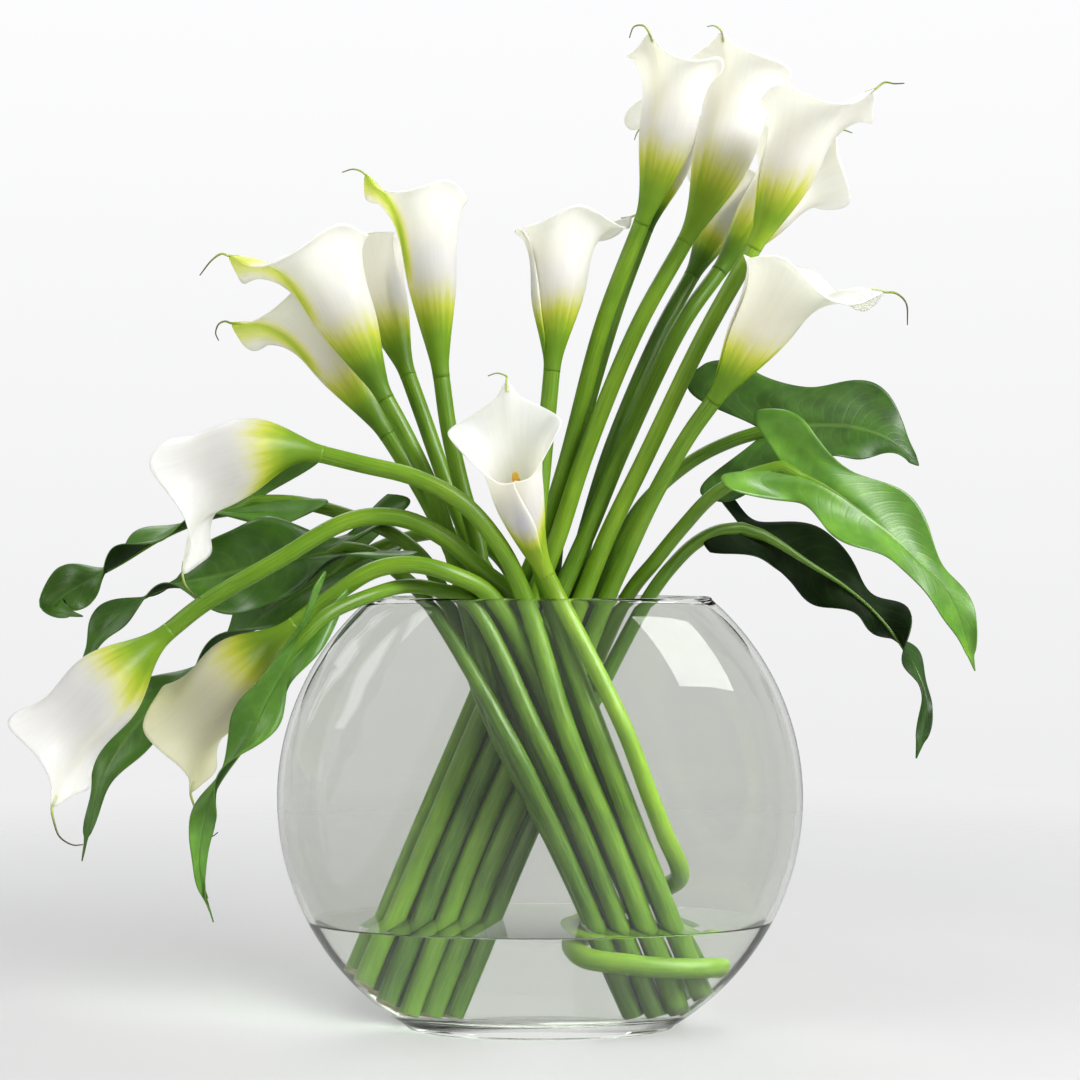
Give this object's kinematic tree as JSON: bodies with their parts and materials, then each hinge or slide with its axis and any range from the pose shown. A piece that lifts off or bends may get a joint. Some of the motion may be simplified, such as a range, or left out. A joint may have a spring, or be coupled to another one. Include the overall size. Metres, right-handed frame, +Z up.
{
  "type": "calla lilies in a vase",
  "caption": "Trumpet-shaped white flowers and arrow-shaped leaves on long stems, crossed in a flat round glass vase of water, for display.",
  "frame": {"origin": "centre of the vase's flat base, on the surface it stands on", "axes": "+X to the right along the vase's wide front, +Y towards its back, +Z up"},
  "size_m": [0.6265, 0.2682, 0.6643],
  "materials": {
    "clear_glass": "clear polished",
    "water": "clear liquid",
    "stem_green": "smooth satin",
    "leaf_green": "satin, veined",
    "spathe_ivory": "soft satin, green at the base",
    "spadix_yellow": "finely bumpy, matte"
  },
  "bodies": {
    "root": {"vase_base": "clear_glass", "vase_front": "clear_glass", "vase_back": "clear_glass", "water": "water", "stem_01": "stem_green", "spathe_01": "spathe_ivory", "spadix_01": "spadix_yellow", "stem_02": "stem_green", "spathe_02": "spathe_ivory", "spadix_02": "spadix_yellow", "stem_03": "stem_green", "spathe_03": "spathe_ivory", "spadix_03": "spadix_yellow", "stem_04": "stem_green", "spathe_04": "spathe_ivory", "spadix_04": "spadix_yellow", "stem_05": "stem_green", "spathe_05": "spathe_ivory", "spadix_05": "spadix_yellow", "stem_06": "stem_green", "spathe_06": "spathe_ivory", "spadix_06": "spadix_yellow", "stem_07": "stem_green", "spathe_07": "spathe_ivory", "spadix_07": "spadix_yellow", "stem_08": "stem_green", "spathe_08": "spathe_ivory", "spadix_08": "spadix_yellow", "stem_09": "stem_green", "spathe_09": "spathe_ivory", "spadix_09": "spadix_yellow", "stem_10": "stem_green", "spathe_10": "spathe_ivory", "spadix_10": "spadix_yellow", "stem_11": "stem_green", "spathe_11": "spathe_ivory", "spadix_11": "spadix_yellow", "stem_12": "stem_green", "spathe_12": "spathe_ivory", "spadix_12": "spadix_yellow", "stem_13": "stem_green", "spathe_13": "spathe_ivory", "spadix_13": "spadix_yellow", "stem_14": "stem_green", "spathe_14": "spathe_ivory", "spadix_14": "spadix_yellow", "stem_15": "stem_green", "spathe_15": "spathe_ivory", "spadix_15": "spadix_yellow", "stem_16": "stem_green", "spathe_16": "spathe_ivory", "spadix_16": "spadix_yellow", "leaf_01": "leaf_green", "leaf_02": "leaf_green", "leaf_03": "leaf_green", "leaf_04": "leaf_green", "leaf_05": "leaf_green", "leaf_06": "leaf_green", "leaf_07": "leaf_green"}
  },
  "joints": []
}
